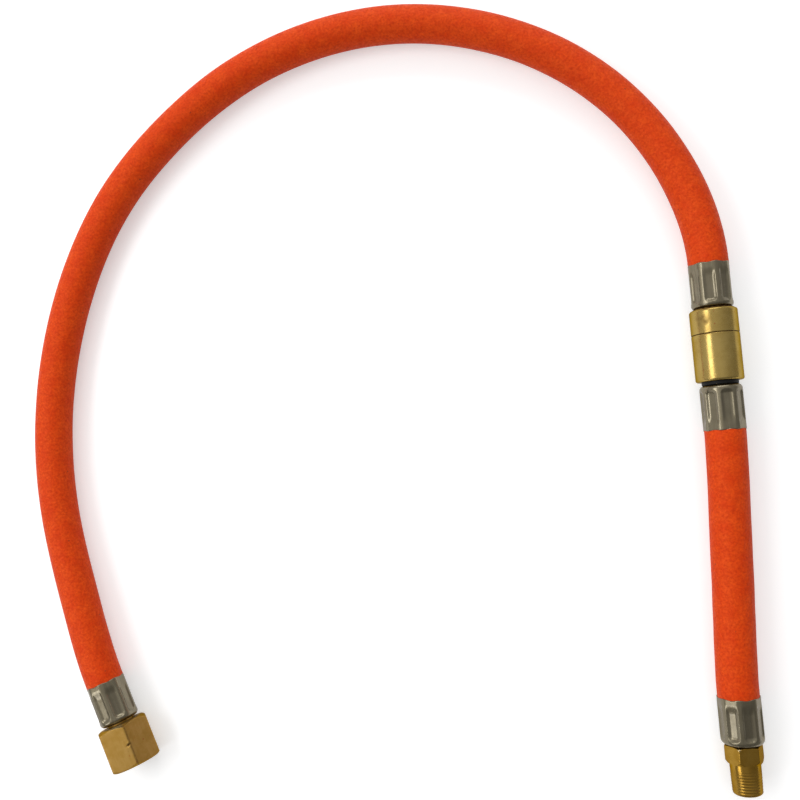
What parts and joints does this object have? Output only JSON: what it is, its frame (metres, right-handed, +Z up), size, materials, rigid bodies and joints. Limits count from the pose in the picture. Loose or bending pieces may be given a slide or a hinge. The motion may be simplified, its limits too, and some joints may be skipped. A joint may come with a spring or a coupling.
{
  "type": "propane regulator hose",
  "caption": "Orange rubber gas hose, a long and a short length joined by a brass swivel, with crimped steel ferrules, a brass union nut and a taper-threaded nipple.",
  "frame": {"origin": "on the surface that the hose lies on, under the centre of the box of the three fittings", "axes": "+Z up, -Y along the outlet thread, out of the short hose; the hose arches towards +Y"},
  "size_m": [0.2554, 0.281, 0.017],
  "materials": {
    "brass": "turned and slightly tarnished",
    "swivel_brass": "smooth turned",
    "ferrule_steel": "pressed, zinc plated, dull",
    "orange_rubber": "matte with a fine cloth impression",
    "textile_braid": "braided yarn",
    "liner_rubber": "smooth",
    "seal_rubber": "smooth, slightly oily",
    "washer_plastic": "moulded"
  },
  "bodies": {
    "long_hose": {"inlet_tail": "brass", "inlet_ferrule": "ferrule_steel", "long_hose_cover": "orange_rubber", "long_hose_braid": "textile_braid", "long_hose_liner": "liner_rubber", "upper_ferrule": "ferrule_steel", "swivel_body": "swivel_brass", "swivel_sleeve": "swivel_brass", "upper_thrust_washer": "washer_plastic", "lower_thrust_washer": "washer_plastic", "dust_seal": "seal_rubber"},
    "nut": {"union_nut": "brass"},
    "short_hose": {"swivel_stem": "swivel_brass", "upper_o_ring": "seal_rubber", "lower_o_ring": "seal_rubber", "lower_ferrule": "ferrule_steel", "short_hose_cover": "orange_rubber", "short_hose_braid": "textile_braid", "short_hose_liner": "liner_rubber", "outlet_ferrule": "ferrule_steel", "outlet_nipple": "brass"}
  },
  "joints": [
    {"name": "nut_spin", "type": "hinge", "parent": "long_hose", "child": "nut", "pos_m": [-0.113, -0.0425, 0.0085], "axis": [0.342, -0.9397, 0], "continuous": true},
    {"name": "swivel_spin", "type": "hinge", "parent": "long_hose", "child": "short_hose", "pos_m": [0.1115, 0.0593, 0.0078], "axis": [0, -1, 0], "continuous": true}
  ]
}
